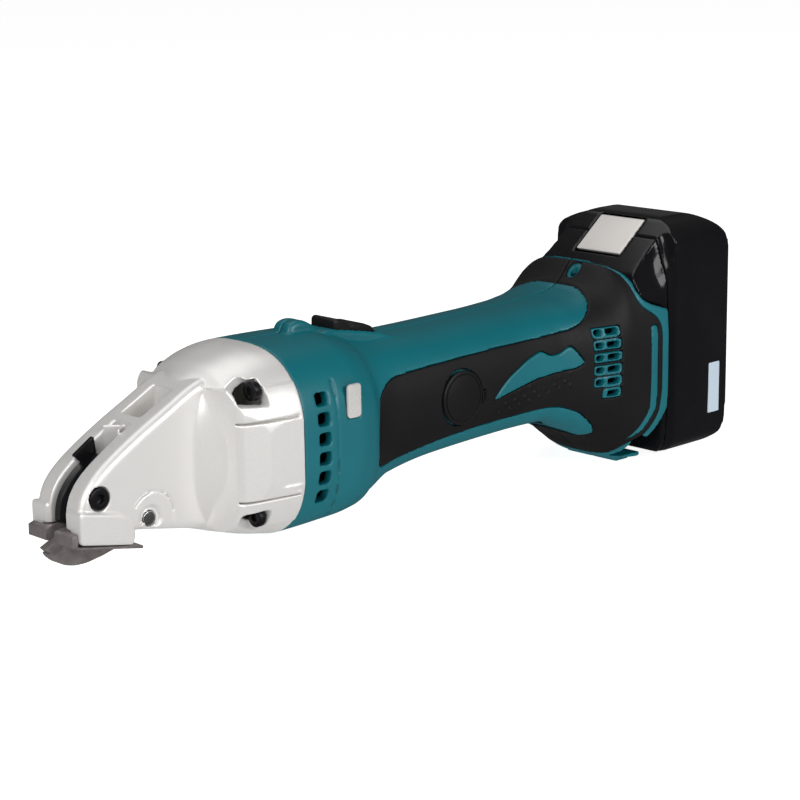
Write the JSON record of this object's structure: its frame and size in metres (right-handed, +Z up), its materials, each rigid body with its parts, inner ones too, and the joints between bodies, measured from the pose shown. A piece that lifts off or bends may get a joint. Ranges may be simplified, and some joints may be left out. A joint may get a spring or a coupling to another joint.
{
  "type": "cordless sheet metal shear",
  "caption": "Cordless in-line shear for roofing sheet: a centre blade swings between fixed side cutters in a cast head, run by a motor in the handle and a slide-on battery.",
  "frame": {"origin": "on the ground under the middle of the tool's box, level with the face of its rear foot", "axes": "+X along the motor from the nose to the battery, +Y to the tool's right side, +Z up"},
  "size_m": [0.3746, 0.0788, 0.1158],
  "materials": {
    "teal_plastic": "satin moulded plastic",
    "grip_rubber": "soft matte overmould",
    "window_plastic": "clouded window",
    "black_plastic": "fine grained black plastic",
    "cast_metal": "painted silver die casting",
    "tool_steel": "ground tool steel",
    "dark_steel": "black oxide steel",
    "bright_steel": "ground steel",
    "copper": "enamelled copper and brass",
    "carbon": "pressed carbon",
    "board_green": "coated circuit board",
    "gloss_black": "glossy black plastic",
    "light_plastic": "off-white plastic",
    "cell_wrap": "sleeved cell"
  },
  "bodies": {
    "tool": {"housing_left": "teal_plastic", "housing_right": "teal_plastic", "grip_left": "grip_rubber", "grip_right": "grip_rubber", "indicator_window_left": "window_plastic", "indicator_window_right": "window_plastic", "brush_cap_left": "black_plastic", "brush_cap_right": "black_plastic", "switch_box": "black_plastic", "terminal_block": "black_plastic", "gear_housing": "cast_metal", "bearing_plate": "cast_metal", "side_cutter_left": "tool_steel", "side_cutter_right": "tool_steel", "nose_bolt": "dark_steel", "strip_deflector": "dark_steel", "head_screw_left_top": "dark_steel", "head_screw_left_bottom": "dark_steel", "head_screw_right_top": "dark_steel", "head_screw_right_bottom": "dark_steel", "magnet_yoke": "dark_steel", "pivot_pin": "bright_steel", "crank_bearing_front": "bright_steel", "crank_bearing_rear": "bright_steel", "motor_bearing_front": "bright_steel", "motor_bearing_rear": "bright_steel", "brush_holder_left": "copper", "brush_holder_right": "copper", "carbon_brush_left": "carbon", "carbon_brush_right": "carbon", "controller_board": "board_green"},
    "rotor": {"armature_shaft": "bright_steel", "pinion": "bright_steel", "armature_core": "dark_steel", "winding_front": "copper", "winding_rear": "copper", "commutator": "copper", "cooling_fan": "black_plastic"},
    "crank": {"crank_shaft": "bright_steel", "crank_gear": "bright_steel", "needle_bearing": "bright_steel"},
    "blade": {"centre_blade": "tool_steel"},
    "switch": {"switch_knob": "black_plastic", "switch_bar": "black_plastic"},
    "battery": {"battery_case_front": "gloss_black", "battery_case_rear": "gloss_black", "cell_01": "cell_wrap", "cell_02": "cell_wrap", "cell_03": "cell_wrap", "cell_04": "cell_wrap", "cell_05": "cell_wrap", "cell_06": "cell_wrap", "cell_07": "cell_wrap", "cell_08": "cell_wrap", "cell_09": "cell_wrap", "cell_10": "cell_wrap"},
    "latch": {"battery_button": "light_plastic", "battery_latch": "dark_steel"}
  },
  "joints": [
    {"name": "rotor_spin", "type": "hinge", "parent": "tool", "child": "rotor", "pos_m": [0, 0, 0.0542], "axis": [1, 0, 0], "continuous": true},
    {"name": "crank_spin", "type": "hinge", "parent": "tool", "child": "crank", "pos_m": [-0.10425, 0, 0.0398], "axis": [1, 0, 0], "continuous": true},
    {"name": "blade_pivot", "type": "hinge", "parent": "tool", "child": "blade", "pos_m": [-0.14625, 0, 0.0312], "axis": [0, -1, 0], "range_deg": [0, 6]},
    {"name": "switch_slide", "type": "slide", "parent": "tool", "child": "switch", "axis": [1, 0, 0], "range_m": [0, 0.005]},
    {"name": "battery_slide", "type": "slide", "parent": "tool", "child": "battery", "axis": [0, 0, 1], "range_m": [0, 0.12]},
    {"name": "battery_release", "type": "slide", "parent": "battery", "child": "latch", "axis": [1, 0, 0], "range_m": [0, 0.0045], "stiffness_N_per_m": 400, "springref_m": -0.002}
  ],
  "couplings": [
    {"joint": "crank_spin", "follows": "rotor_spin", "ratio": -0.33333}
  ]
}
